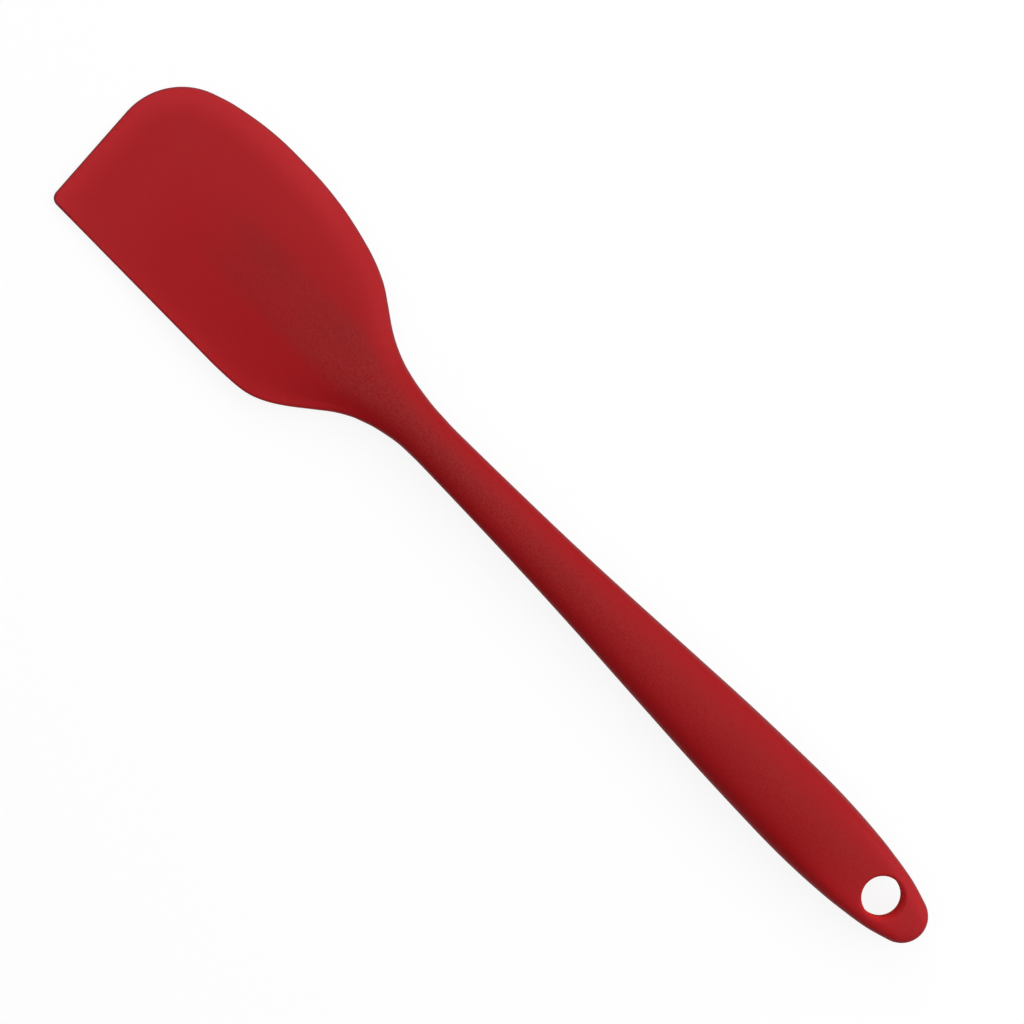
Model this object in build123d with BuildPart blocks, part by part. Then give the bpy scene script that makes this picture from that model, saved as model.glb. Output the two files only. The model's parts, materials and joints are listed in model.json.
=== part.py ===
from build123d import *
from math import asin, cos, radians, sin, sqrt, tan
import os

# A seamless silicone spatula: a soft skin moulded over a steel spine and a nylon grip core.
# X runs from the blade tip to the tail, Y across the blade with the rounded side on +Y, Z up.
# The origin is on the surface that the spatula lies on, under the middle of its length.

# Whole object
overall_length = 280.0
blade_length = 112.0
grip_peak_to_tail = 48.0

# Blade outline
blade_width = 50.5
tip_skew = 4.2
tip_point_radius = 2.2
tip_corner_radius = 18.0
tip_corner_turn = 70.0
tip_corner_drop = 4.25
widest_reach = 38.0

# Blade thickness
blade_edge_thickness = 2.2
blade_edge_round = 1.0
rim_width = 4.0

# Neck, grip and tail
neck_width = 11.9
neck_thickness = 9.2
neck_offset = 0.35
grip_width = 21.2
grip_thickness = 13.6
tail_thickness = 7.0
tail_edge_round = 3.3
tail_nose_radius = 6.4
flank_land = 1.6
bend_reach = 25.0

# Hanging hole
hanging_hole_diameter = 10.4
hole_to_tail_end = 13.75
hole_edge_round = 0.8
hole_land = 1.2

# Steel spine
spine_thickness = 1.5
spine_width = 7.0
paddle_width = 15.0
paddle_length = 26.0
paddle_taper = 24.0
paddle_to_tip = 44.0
spine_to_hole = 3.6
spine_corner_radius = 2.5
flow_hole_diameter = 3.6
flow_hole_pitch = 22.0
first_flow_hole = 8.0
paddle_hole_pitch = 8.0

# Nylon grip core
grip_skin = 3.0
core_before_peak = 60.0
core_after_peak = 18.0

# Places that follow from the sizes
tip_x = -overall_length / 2
tail_x = overall_length / 2
neck_x = tip_x + blade_length
grip_peak_x = tail_x - grip_peak_to_tail
hole_x = tail_x - hole_to_tail_end
hole_radius = hanging_hole_diameter / 2
core_loft_end_x = hole_x - hole_radius - hole_land
blade_half = blade_width / 2
edge_half = blade_edge_thickness / 2
neck_half = neck_thickness / 2
grip_half = grip_thickness / 2
tail_half = tail_thickness / 2
land_half = flank_land / 2
neck_left = neck_width / 2 + neck_offset
neck_right = neck_width / 2 - neck_offset

# The blade lies in a plane that drops from the grip's middle so that the tip meets the surface too
blade_drop = asin((grip_half - edge_half) / blade_length)
blade_run = blade_length / cos(blade_drop)
bend_radius = bend_reach / tan(blade_drop / 2)
blade_plane = Plane(
    origin=(neck_x, 0, grip_half),
    x_dir=(cos(blade_drop), 0, sin(blade_drop)),
    z_dir=(-sin(blade_drop), 0, cos(blade_drop)),
)

# Stations from the tip to the neck. Each row holds the place along the blade, the half widths of the
# straight and the rounded side over the neck's, the crest height over the edge's, how much of the rim
# is left outside the raised middle, and how far the section has turned from a flat arch to an oval.
blade_station_shares = (
    (0.180, 1.000, 0.905, -0.03, 1.00, 0.00),
    (0.290, 1.000, 0.990, 0.17, 1.00, 0.00),
    (0.410, 1.000, 0.993, 0.36, 1.00, 0.00),
    (0.530, 1.000, 0.885, 0.52, 1.00, 0.04),
    (0.600, 0.976, 0.786, 0.61, 0.98, 0.10),
    (0.670, 0.830, 0.608, 0.70, 0.85, 0.22),
    (0.750, 0.481, 0.302, 0.82, 0.55, 0.45),
    (0.821, 0.193, 0.117, 0.91, 0.25, 0.72),
    (0.875, 0.082, 0.048, 0.96, 0.09, 0.88),
    (0.929, 0.022, 0.011, 0.99, 0.00, 1.00),
)

# Where the straight edge ends, and the stations that the thin blade's outline passes on each shoulder
straight_end_share = 0.5625
left_shoulder_stations = (4, 5, 6, 7, 8)
right_shoulder_stations = (3, 4, 5, 6, 7, 8)
blade_root_share = 0.7

# Stations from the neck to the fullest part of the grip: place, width gained and thickness gained
grip_station_shares = (
    (0.00, 0.000, 0.00),
    (0.17, 0.086, 0.05),
    (0.33, 0.204, 0.18),
    (0.50, 0.400, 0.41),
    (0.66, 0.625, 0.66),
    (0.83, 0.850, 0.89),
    (1.00, 0.985, 1.00),
)

# Stations from there to the hanging hole: place, width of the grip kept and thickness kept over the tail's
tail_station_shares = (
    (0.35, 0.998, 0.90),
    (0.65, 0.965, 0.66),
    (0.85, 0.890, 0.34),
    (1.00, 0.800, 0.00),
)
tail_crest_share = 0.86

# Sections that the lofts pass through
skin_section_count = 32
core_section_count = 10

# Flank of the tail pad: place from the fullest grip to the nose, and share of the grip's half width
tail_flank_shares = ((0.00, 0.860), (0.30, 0.975), (0.55, 0.925), (0.78, 0.798))
nose_turn = 15.0

# Control points of half a crown: how far out the first and second lie and how high the first rises
arch_flank_share = 2 / 3
arch_crest_share = 1 / 3
arch_rise_share = 2 / 3
oval_flank_share = 1.0
oval_crest_share = 0.45
oval_rise_share = 0.55


def mid_height(x):
    """Height of the middle surface over the place x along the spatula."""
    run = x - neck_x
    if run >= bend_reach:
        return grip_half
    if run <= -bend_reach * cos(blade_drop):
        return grip_half + run * tan(blade_drop)
    return grip_half - bend_radius + sqrt(bend_radius**2 - (bend_reach - run) ** 2)


def mid_slope(x):
    """Slope of the middle surface at x, as an angle in radians."""
    run = x - neck_x
    if run >= bend_reach:
        return 0
    if run <= -bend_reach * cos(blade_drop):
        return blade_drop
    return asin((bend_reach - run) / bend_radius)


def station_plane(x):
    """Plane across the spatula at x: its own x is across to the rounded side and its y is up."""
    slope = mid_slope(x)
    return Plane(origin=(x, 0, mid_height(x)), x_dir=(0, 1, 0), z_dir=(cos(slope), 0, sin(slope)))


def crown_points(half_width, crest, oval):
    """Control points of half a crown, from the flank's land up to the crest over the middle.

    A flat arch, as in the blade, has the control points of a parabola, and an oval, as in the grip,
    has those of a quarter of an ellipse.
    """
    rise = crest - land_half
    reach = arch_flank_share + (oval_flank_share - arch_flank_share) * oval
    lift = arch_rise_share + (oval_rise_share - arch_rise_share) * oval
    shoulder = arch_crest_share + (oval_crest_share - arch_crest_share) * oval
    return [
        (half_width, land_half),
        (half_width * reach, land_half + rise * lift),
        (half_width * shoulder, crest),
        (0, crest),
    ]


def placed(points, across, up):
    """The same points on the straight or the rounded side, above or below the middle."""
    return [(across * y, up * z) for y, z in points]


def section_face(left, right, crest, oval):
    """Closed section with two small upright lands at the flanks and a crown above and below."""
    left_crown = crown_points(left, crest, oval)
    right_crown = crown_points(right, crest, oval)
    with BuildSketch() as section:
        with BuildLine():
            Line((-left, -land_half), (-left, land_half))
            Bezier(*placed(left_crown, -1, 1))
            Bezier(*reversed(placed(right_crown, 1, 1)))
            Line((right, land_half), (right, -land_half))
            Bezier(*placed(right_crown, 1, -1))
            Bezier(*reversed(placed(left_crown, -1, -1)))
        make_face()
    return section.sketch


def blade_left(share):
    return neck_left + (blade_half - neck_left) * share


def blade_right(share):
    return neck_right + (blade_half - neck_right) * share


def blade_rows():
    """Place, half widths, crest and ovalness of the raised middle from the blade into the neck."""
    rows = []
    for place, left, right, crest, rim, oval in blade_station_shares:
        rows.append((
            tip_x + place * blade_length,
            blade_left(left) - rim_width * rim,
            blade_right(right) - rim_width * rim,
            edge_half + (neck_half - edge_half) * crest,
            oval,
        ))
    return rows


def grip_rows():
    """Place, half widths, crest and ovalness from the neck to the fullest part of the grip."""
    rows = []
    for place, width, height in grip_station_shares:
        rows.append((
            neck_x + place * (grip_peak_x - neck_x),
            neck_left + (grip_width / 2 - neck_left) * width,
            neck_right + (grip_width / 2 - neck_right) * width,
            neck_half + (grip_half - neck_half) * height,
            1,
        ))
    return rows


def tail_rows():
    """Place, half widths, crest and ovalness from the fullest part of the grip to the hole."""
    rows = []
    low_crest = tail_half * tail_crest_share
    for place, width, height in tail_station_shares:
        rows.append((
            grip_peak_x + place * (core_loft_end_x - grip_peak_x),
            grip_width / 2 * width,
            grip_width / 2 * width,
            low_crest + (grip_half - low_crest) * height,
            1,
        ))
    return rows


def row_slope(rows, index, column):
    """Rise per length of one column at a row, from the rows on either side of it."""
    before = rows[max(index - 1, 0)]
    after = rows[min(index + 1, len(rows) - 1)]
    return (after[column] - before[column]) / (after[0] - before[0])


def section_at(rows, x):
    """Half widths, crest and ovalness at x, on a smooth curve through the rows on either side."""
    index = max(number for number in range(len(rows) - 1) if number == 0 or rows[number][0] <= x)
    here = rows[index]
    there = rows[index + 1]
    span = there[0] - here[0]
    share = (x - here[0]) / span
    sizes = []
    for column in range(1, len(here)):
        start_slope = row_slope(rows, index, column) * span
        end_slope = row_slope(rows, index + 1, column) * span
        rise = there[column] - here[column]
        sizes.append(
            here[column]
            + share * start_slope
            + share**2 * (3 * rise - 2 * start_slope - end_slope)
            + share**3 * (start_slope + end_slope - 2 * rise)
        )
    return sizes


def even_places(start, end, count):
    """Evenly spaced places from start to end."""
    return [start + (end - start) * number / (count - 1) for number in range(count)]


def shoulder_points(stations, side):
    """Points of the thin blade's outline at the given stations, in the blade's own plane."""
    points = []
    for station in stations:
        place, left, right, *_ = blade_station_shares[station]
        half_width = blade_left(left) if side < 0 else blade_right(right)
        points.append((-blade_run * (1 - place), side * half_width))
    return points


skin_rows = blade_rows() + grip_rows() + tail_rows()

# Thin blade: its plan outline pulled to an even thickness, with a rounded rim
skew = radians(tip_skew)
turn = radians(tip_corner_turn)
corner_x = tip_corner_radius - blade_run
corner_y = blade_half - tip_corner_drop - tip_corner_radius * sin(turn)
tip_line_end = (corner_x - tip_corner_radius * cos(skew), corner_y - tip_corner_radius * sin(skew))
tip_point = (tip_line_end[0] + (tip_line_end[1] + blade_half) * tan(skew), -blade_half)
corner_end = (corner_x - tip_corner_radius * cos(turn), corner_y + tip_corner_radius * sin(turn))
widest_point = (widest_reach - blade_run, blade_half)
straight_end = (-blade_run * (1 - straight_end_share), -blade_half)
left_root = (0, -neck_left * blade_root_share)
right_root = (0, neck_right * blade_root_share)

with BuildPart() as thin_blade:
    with BuildSketch(blade_plane) as blade_plan:
        with BuildLine():
            Line(straight_end, tip_point)
            Line(tip_point, tip_line_end)
            CenterArc((corner_x, corner_y), tip_corner_radius, 180 + tip_skew, -tip_skew - tip_corner_turn)
            Spline(
                corner_end,
                widest_point,
                *shoulder_points(right_shoulder_stations, 1),
                right_root,
                tangents=[(sin(turn), cos(turn)), (1, 0)],
            )
            Line(right_root, left_root)
            Spline(
                left_root,
                *reversed(shoulder_points(left_shoulder_stations, -1)),
                straight_end,
                tangents=[(-1, 0), (-1, 0)],
            )
        make_face()
        fillet(blade_plan.vertices().sort_by_distance(tip_point)[0], tip_point_radius)
    extrude(amount=edge_half, both=True)
    levels = thin_blade.edges().group_by(Axis(blade_plane.origin, blade_plane.z_dir))
    fillet(levels[0].sort_by(Axis.X)[:-1] + levels[-1].sort_by(Axis.X)[:-1], blade_edge_round)

# Tail pad: the flat round-nosed end that holds the hanging hole
nose_x = tail_x - tail_nose_radius
nose_angle = radians(nose_turn)
nose_start = (nose_x + tail_nose_radius * sin(nose_angle), tail_nose_radius * cos(nose_angle))
flank_points = [
    (grip_peak_x + place * (nose_start[0] - grip_peak_x), grip_width / 2 * width)
    for place, width in tail_flank_shares
]

with BuildPart() as tail_pad:
    with BuildSketch(Plane.XY.offset(grip_half)):
        with BuildLine() as tail_outline:
            Spline(*flank_points, nose_start, tangents=[(1, tan(nose_angle)), (cos(nose_angle), -sin(nose_angle))])
            ThreePointArc(nose_start, (tail_x, 0), (nose_start[0], -nose_start[1]))
            mirror(tail_outline.edges().sort_by(Axis.X)[0], about=Plane.XZ)
            Line((grip_peak_x, flank_points[0][1]), (grip_peak_x, -flank_points[0][1]))
        make_face()
    extrude(amount=tail_half, both=True)
    pad_levels = tail_pad.edges().group_by(Axis.Z)
    fillet(pad_levels[0].sort_by(Axis.X)[1:] + pad_levels[-1].sort_by(Axis.X)[1:], tail_edge_round)
    with Locations((hole_x, 0, grip_half)):
        Hole(hole_radius)
    rims = tail_pad.edges().filter_by(GeomType.CIRCLE)
    fillet(rims.filter_by(lambda rim: abs(rim.radius - hole_radius) < hole_edge_round / 2), hole_edge_round)

# Steel spine: a bar bent to the middle surface, with a paddle in the blade and flow-through holes
paddle_x = tip_x + paddle_to_tip
taper_x = paddle_x + paddle_length
bar_x = taper_x + paddle_taper
spine_end_x = hole_x - hole_radius - spine_to_hole
bend_start_x = neck_x - bend_reach * cos(blade_drop)
bend_end_x = neck_x + bend_reach
bar_holes = int((spine_end_x - spine_corner_radius - neck_x - first_flow_hole) / flow_hole_pitch) + 1
bar_hole_places = [(neck_x + first_flow_hole + flow_hole_pitch * number, 0) for number in range(bar_holes)]
paddle_middle_x = paddle_x + paddle_length / 2

with BuildPart() as steel_spine:
    with BuildLine(Plane.XZ) as spine_path:
        Line((paddle_x, mid_height(paddle_x)), (bend_start_x, mid_height(bend_start_x)))
        ThreePointArc(
            (bend_start_x, mid_height(bend_start_x)),
            (neck_x, mid_height(neck_x)),
            (bend_end_x, mid_height(bend_end_x)),
        )
        Line((bend_end_x, grip_half), (spine_end_x, grip_half))
    with BuildSketch(station_plane(paddle_x)):
        Rectangle(paddle_width, spine_thickness)
    sweep(path=spine_path.wires()[0])
    with BuildSketch() as spine_plan:
        with BuildLine():
            Polyline(
                (paddle_x, -paddle_width / 2),
                (taper_x, -paddle_width / 2),
                (bar_x, -spine_width / 2),
                (spine_end_x, -spine_width / 2),
                (spine_end_x, spine_width / 2),
                (bar_x, spine_width / 2),
                (taper_x, paddle_width / 2),
                (paddle_x, paddle_width / 2),
                close=True,
            )
        make_face()
        fillet(spine_plan.vertices(), spine_corner_radius)
        with Locations(*bar_hole_places):
            Circle(flow_hole_diameter / 2, mode=Mode.SUBTRACT)
        with Locations((paddle_middle_x, 0)):
            with GridLocations(paddle_hole_pitch, paddle_hole_pitch, 2, 2):
                Circle(flow_hole_diameter / 2, mode=Mode.SUBTRACT)
    extrude(amount=grip_thickness, mode=Mode.INTERSECT)
steel_spine.part.label = "steel_spine"

# Nylon grip core: follows the grip's sections one skin thickness inside them, moulded round the spine
with BuildPart() as grip_core:
    for x in even_places(grip_peak_x - core_before_peak, grip_peak_x + core_after_peak, core_section_count):
        left, right, crest, oval = section_at(skin_rows, x)
        with BuildSketch(station_plane(x)):
            add(section_face(left - grip_skin, right - grip_skin, crest - grip_skin, oval))
    loft()
    with Locations(*bar_hole_places):
        Hole(flow_hole_diameter / 2)
    add(steel_spine.part, mode=Mode.SUBTRACT)
grip_core.part.label = "grip_core"

# Silicone skin: raised middle, neck and grip in one loft, joined with the thin blade and the tail pad
with BuildPart() as silicone_skin:
    for x in even_places(skin_rows[0][0], skin_rows[-1][0], skin_section_count):
        left, right, crest, oval = section_at(skin_rows, x)
        with BuildSketch(station_plane(x)):
            add(section_face(left, right, crest, oval))
    loft()
    add(thin_blade.part)
    add(tail_pad.part)
    add(steel_spine.part, mode=Mode.SUBTRACT)
    add(grip_core.part, mode=Mode.SUBTRACT)
silicone_skin.part.label = "silicone_skin"

os.makedirs("parts", exist_ok=True)
export_step(silicone_skin.part, "parts/silicone_skin.step")
export_step(steel_spine.part, "parts/steel_spine.step")
export_step(grip_core.part, "parts/grip_core.step")
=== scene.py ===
"""Looks of a seamless silicone spatula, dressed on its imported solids.

Everything is in metres. X runs from the blade tip to the tail, Y across the blade with its rounded
side on +Y, and Z up from the surface that the spatula lies on.
"""

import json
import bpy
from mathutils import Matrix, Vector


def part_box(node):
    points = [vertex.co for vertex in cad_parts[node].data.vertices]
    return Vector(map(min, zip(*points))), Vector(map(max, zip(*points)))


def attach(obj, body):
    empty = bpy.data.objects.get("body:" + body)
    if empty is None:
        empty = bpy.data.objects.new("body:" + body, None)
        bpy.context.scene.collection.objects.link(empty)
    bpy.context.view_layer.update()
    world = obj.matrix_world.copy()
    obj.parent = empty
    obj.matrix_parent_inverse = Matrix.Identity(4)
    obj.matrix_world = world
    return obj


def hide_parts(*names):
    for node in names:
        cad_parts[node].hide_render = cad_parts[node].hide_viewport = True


bl_info = {
    "name": "Silicone Spatula",
    "version": (1, 0, 0),
    "blender": (4, 5, 0),
    "location": "View3D > Sidebar > Spatula",
    "description": "Builds the skin, parting line, finishes and studio of a silicone spatula",
    "category": "Object",
}

from math import asin, cos, pi, radians, sin, sqrt, tan

import bpy
import numpy as np
from bpy.props import FloatProperty, FloatVectorProperty, PointerProperty
from bpy.types import Operator, Panel, PropertyGroup
from mathutils import Vector
from mathutils.geometry import delaunay_2d_cdt

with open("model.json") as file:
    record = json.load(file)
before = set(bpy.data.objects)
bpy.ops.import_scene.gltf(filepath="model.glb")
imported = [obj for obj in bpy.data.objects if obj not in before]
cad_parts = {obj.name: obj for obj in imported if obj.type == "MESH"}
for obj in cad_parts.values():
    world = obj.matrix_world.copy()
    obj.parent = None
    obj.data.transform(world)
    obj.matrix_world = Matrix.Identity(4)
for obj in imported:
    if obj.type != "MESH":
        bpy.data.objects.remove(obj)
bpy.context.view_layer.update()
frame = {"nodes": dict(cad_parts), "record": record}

MM = 0.001
LOW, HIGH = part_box("silicone_skin")
BLADE_WIDTH = HIGH.y - LOW.y
GRIP_THICKNESS = HIGH.z - LOW.z
HOLE = next(mount for mount in frame["record"]["mounts"] if mount["name"] == "hanging_hole")

# Rows from the tip to the neck: place along the blade, half widths of the straight and the rounded side
# over the neck's, crest over the edge's, and how far the section has turned from an arch to an oval.
BLADE_ROW_SHARES = (
    (0.000, 1.000, 0.990, 0.00, 0.00),
    (0.106, 1.000, 0.990, 0.03, 0.00),
    (0.180, 1.000, 0.990, 0.12, 0.00),
    (0.290, 1.000, 0.992, 0.30, 0.00),
    (0.410, 1.000, 0.990, 0.44, 0.00),
    (0.530, 1.000, 0.895, 0.56, 0.02),
    (0.600, 0.975, 0.793, 0.63, 0.07),
    (0.635, 0.931, 0.719, 0.66, 0.11),
    (0.670, 0.838, 0.624, 0.71, 0.18),
    (0.705, 0.703, 0.491, 0.77, 0.28),
    (0.750, 0.494, 0.316, 0.83, 0.42),
    (0.786, 0.327, 0.207, 0.88, 0.57),
    (0.821, 0.203, 0.129, 0.92, 0.72),
    (0.848, 0.138, 0.088, 0.94, 0.80),
    (0.875, 0.085, 0.057, 0.96, 0.88),
    (0.929, 0.018, 0.016, 0.99, 0.97),
    (0.964, 0.004, 0.006, 1.00, 1.00),
)

# Rows from the neck to the fullest part of the grip: place, width gained, thickness gained, flatness
GRIP_ROW_SHARES = (
    (0.00, 0.000, 0.00, 0.00),
    (0.17, 0.086, 0.05, 0.00),
    (0.33, 0.204, 0.18, 0.02),
    (0.50, 0.400, 0.41, 0.05),
    (0.66, 0.625, 0.66, 0.10),
    (0.83, 0.850, 0.89, 0.16),
    (1.00, 0.985, 1.00, 0.22),
)

# Rows from there to the start of the nose: place, width kept, thickness kept over the tail's, flatness
TAIL_ROW_SHARES = (
    (0.185, 0.999, 0.955, 0.27),
    (0.324, 0.984, 0.84, 0.36),
    (0.416, 0.966, 0.71, 0.46),
    (0.509, 0.939, 0.53, 0.60),
    (0.601, 0.906, 0.34, 0.77),
    (0.693, 0.858, 0.18, 0.90),
    (0.786, 0.803, 0.07, 1.00),
    (0.878, 0.729, 0.02, 1.00),
    (1.000, 0.581, 0.00, 1.00),
)

# The rounded side's outline between the tip corner and the shoulder, as places along the blade and
# shares of the blade's half width
ROUNDED_EDGE_SHARES = ((0.143, 0.894), (0.179, 0.932), (0.232, 0.973), (0.286, 0.996), (0.339, 1.000),
                       (0.411, 0.993), (0.482, 0.960), (0.530, 0.920), (0.565, 0.883), (0.600, 0.840),
                       (0.635, 0.783))
STRAIGHT_END_SHARE = 0.5625
SHOULDER_SHARE = 0.670


def length(name, description, millimetres):
    """A length that a user can change, with its default given in millimetres."""
    return FloatProperty(name=name, description=description, default=millimetres * MM, unit="LENGTH")


def angle(name, description, degrees):
    """An angle that a user can change, with its default given in degrees."""
    return FloatProperty(name=name, description=description, default=radians(degrees), subtype="ANGLE")


def colour(name, description, default):
    """A colour that a user can change."""
    return FloatVectorProperty(
        name=name, description=description, default=default, subtype="COLOR", min=0, max=1)


def power(name, description, watts):
    """The power of a lamp."""
    return FloatProperty(name=name, description=description, default=watts, unit="POWER")


class SpatulaSizes(PropertyGroup):
    """Sizes of the moulded skin."""

    blade_length: length("Blade length", "From the tip to the slimmest part of the neck", 112)
    blade_edge: length("Edge thickness", "Thickness of the blade's rim", 1.5)
    blade_web: length("Web thickness", "Thickness of the flat of the blade", 2.3)
    blade_web_reach: length("Web reach", "Distance over which the rim thickens into the flat", 7)
    straight_bend: FloatProperty(
        name="Straight bend", description="How fast the crown falls away to the straight side", default=1.5)
    rounded_bend: FloatProperty(
        name="Rounded bend", description="How fast the crown falls away to the rounded side", default=1.05)
    tip_rest: length("Tip rest", "Height of the blade's middle surface at the tip", 1.1)
    blade_ridge: length("Ridge", "Half width of the level middle of the blade", 5)
    straight_margin: length("Straight margin", "Flat strip along the straight edge", 3.1)
    rounded_margin: length("Rounded margin", "Flat strip along the rounded edge", 0.8)
    paddle_to_tip: length("Paddle to tip", "Where the deep middle of the blade begins", 27)
    paddle_width: length("Paddle width", "Width of the deep middle of the blade", 15)
    paddle_offset: length("Paddle offset", "How far the paddle sits towards the straight side", 0.9)
    # How far in from the edge the painted light of the rim reaches
    painted_light_reach: length("Rim glow", "How far light reaches in from the thin edge", 9)
    neck_width: length("Neck width", "Width where the neck is slimmest", 11.9)
    neck_offset: length("Neck offset", "How far the neck sits towards the straight side", 0.35)
    neck_thickness: length("Neck thickness", "Height of the neck's section", 9.2)
    grip_width: length("Grip width", "Width of the grip at its fullest", 21.45)
    grip_peak_to_tail: length(
        "Grip peak to tail", "From the fullest part of the grip to the tail's end", 48)
    tail_thickness: length("Tail thickness", "Thickness round the hanging hole", 7)
    tail_round: length("Tail round", "Radius of the tail's rounded rim", 3.3)
    nose_radius: length("Nose radius", "Radius of the tail's end in plan", 6.55)
    nose_turn: angle("Nose turn", "Slope of the flanks where the nose begins", 18)
    tip_skew: angle("Tip skew", "Slant of the tip edge across the blade", 4.2)
    tip_point_radius: length("Point radius", "Corner between the tip and the straight edge", 2.2)
    tip_corner_radius: length("Corner radius", "Big corner between the tip and the rounded edge", 18)
    tip_corner_turn: angle("Corner turn", "How far the big corner turns", 71)
    tip_corner_drop: length("Corner drop", "How far inside the widest line the big corner ends", 3.95)
    bend_reach: length("Bend reach", "Half length of the gentle bend at the neck", 25)
    hole_edge_round: length("Hole edge", "Rounding of the hanging hole's rims", 0.9)
    seam_radius: length("Seam radius", "Radius of the fine parting line", 0.11)
    point_spacing: length("Point spacing", "Distance between mesh points on the broad faces", 1.0)


class SpatulaFinishes(PropertyGroup):
    """Colours of the three materials."""

    silicone: colour("Silicone", "Colour of the silicone where it is thin", (0.366, 0.0082, 0.0120))
    silicone_deep: colour(
        "Deep silicone", "Colour of the silicone where it is thick", (0.312, 0.0036, 0.0060))
    # Painted light: bright red laid on the hole's wall, as if light came through it
    silicone_painted_hole_light: colour(
        "Hole wall", "Colour of the thin wall in the hole, where light comes through",
        (0.700, 0.014, 0.016))
    # Painted shade: a dark line laid on the rim's outer edge, where the skin turns away from the light
    silicone_painted_shade: colour(
        "Silicone rim", "Colour of the rounded rim, where the skin turns under", (0.150, 0.022, 0.030))
    # Painted light: colour of the thin rim made brighter, most on the lit side, at the tip and along the
    # tail
    silicone_painted_light: colour(
        "Bright silicone", "Colour of the thin edge, where light comes through", (0.465, 0.0165, 0.0225))
    silicone_core: colour(
        "Silicone over core", "Colour of the silicone over the paddle and the core",
        (0.222, 0.0075, 0.0078))
    # The moulded grain's greyish bloom, also laid on as a painted sheen on the lit side, at the tip and
    # along the thick crest
    silicone_bloom_and_sheen: colour("Silicone bloom", "Greyish bloom of the moulded grain", (0.34, 0.045, 0.045))
    steel: colour("Steel", "Colour of the spine", (0.55, 0.55, 0.56))
    nylon: colour("Nylon", "Colour of the grip core", (0.05, 0.05, 0.05))


class SpatulaStudio(PropertyGroup):
    """Camera and light of the studio."""

    camera_place: FloatVectorProperty(
        name="Camera place", description="Where the camera stands over the spatula",
        default=(-17.2 * MM, 0.7 * MM, 686.8 * MM), subtype="TRANSLATION", unit="LENGTH")
    camera_turn: FloatVectorProperty(
        name="Camera turn", description="Tilt and turn of the camera",
        default=(radians(-0.75), radians(-0.83), radians(45.466)), subtype="EULER")
    picture_angle: angle("Picture angle", "Angle that the picture takes in", 20.80)
    overhead_power: power("Overhead", "Power of the soft box overhead", 5.6)
    tail_side_power: power("Tail side", "Power of the soft box towards the tail", 5.0)
    middle_power: power("Middle", "Power of the soft box on the rounded side", 1.9)
    tip_side_power: power("Tip side", "Power of the soft box towards the tip", 3.4)
    fill_strength: FloatProperty(
        name="Fill", description="Strength of the even light all round", default=0.2)
    air_strength: FloatProperty(
        name="Air", description="How pale the air looks past the floor's end", default=0.9)
    paper_share: FloatProperty(
        name="Paper share", description="How much of the floor is white in itself and takes no shadow",
        default=0.88, subtype="FACTOR")


class Term:
    """A node socket that takes part in ordinary arithmetic."""

    def __init__(self, tree, socket):
        self.tree = tree
        self.socket = socket

    def math(self, operation, *others):
        node = self.tree.add("ShaderNodeMath", {"operation": operation})
        for slot, value in zip(node.inputs, (self, *others)):
            self.tree.feed(slot, value)
        return Term(self.tree, node.outputs[0])

    def __add__(self, other):
        return self.math("ADD", other)

    __radd__ = __add__

    def __sub__(self, other):
        return self.math("SUBTRACT", other)

    def __rsub__(self, other):
        return self.math("MULTIPLY", -1).math("ADD", other)

    def __mul__(self, other):
        return self.math("MULTIPLY", other)

    __rmul__ = __mul__

    def __truediv__(self, other):
        return self.math("DIVIDE", other)

    def __pow__(self, other):
        return self.math("POWER", other)

    def least(self, other):
        return self.math("MINIMUM", other)

    def most(self, other):
        return self.math("MAXIMUM", other)

    def root(self):
        return self.math("SQRT")

    def eased(self):
        """The value cut to 0..1 and eased at both ends."""
        share = self.most(0).least(1)
        return share * share * (3 - 2 * share)


class Tree:
    """Adds nodes to a shader or geometry tree and links them by value."""

    def __init__(self, nodes_owner):
        self.nodes = nodes_owner.nodes
        self.links = nodes_owner.links

    def feed(self, slot, value):
        if isinstance(value, Term):
            self.links.new(value.socket, slot)
        elif isinstance(value, bpy.types.NodeSocket):
            self.links.new(value, slot)
        else:
            slot.default_value = value

    def add(self, kind, settings=None, values=None):
        """A node of a kind, with its settings made first and then its sockets' values or links."""
        node = self.nodes.new(kind)
        for name, setting in (settings or {}).items():
            setattr(node, name, setting)
        for name, value in (values or {}).items():
            self.feed(node.inputs[name], value)
        return node

    def term(self, node, output=0):
        return Term(self, node.outputs[output])


def smooth_read(places, values, at):
    """Reads a table at the given places, on a smooth curve through its rows."""
    places = np.asarray(places)
    values = np.asarray(values)
    slopes = np.empty(len(places))
    slopes[1:-1] = (values[2:] - values[:-2]) / (places[2:] - places[:-2])
    slopes[0] = (values[1] - values[0]) / (places[1] - places[0])
    slopes[-1] = (values[-1] - values[-2]) / (places[-1] - places[-2])
    at = np.clip(at, places[0], places[-1])
    row = np.clip(np.searchsorted(places, at, side="right") - 1, 0, len(places) - 2)
    span = places[row + 1] - places[row]
    share = (at - places[row]) / span
    rise = values[row + 1] - values[row]
    start = slopes[row] * span
    end = slopes[row + 1] * span
    return (values[row] + share * start + share**2 * (3 * rise - 2 * start - end)
            + share**3 * (start + end - 2 * rise))


def eased(share):
    """The share cut to 0..1 and eased at both ends."""
    share = np.clip(share, 0, 1)
    return share * share * (3 - 2 * share)


def ramp(at, start, full):
    """0 up to the start and 1 from where it is full, eased between them, in either direction."""
    return eased((at - start) / (full - start))


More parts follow.
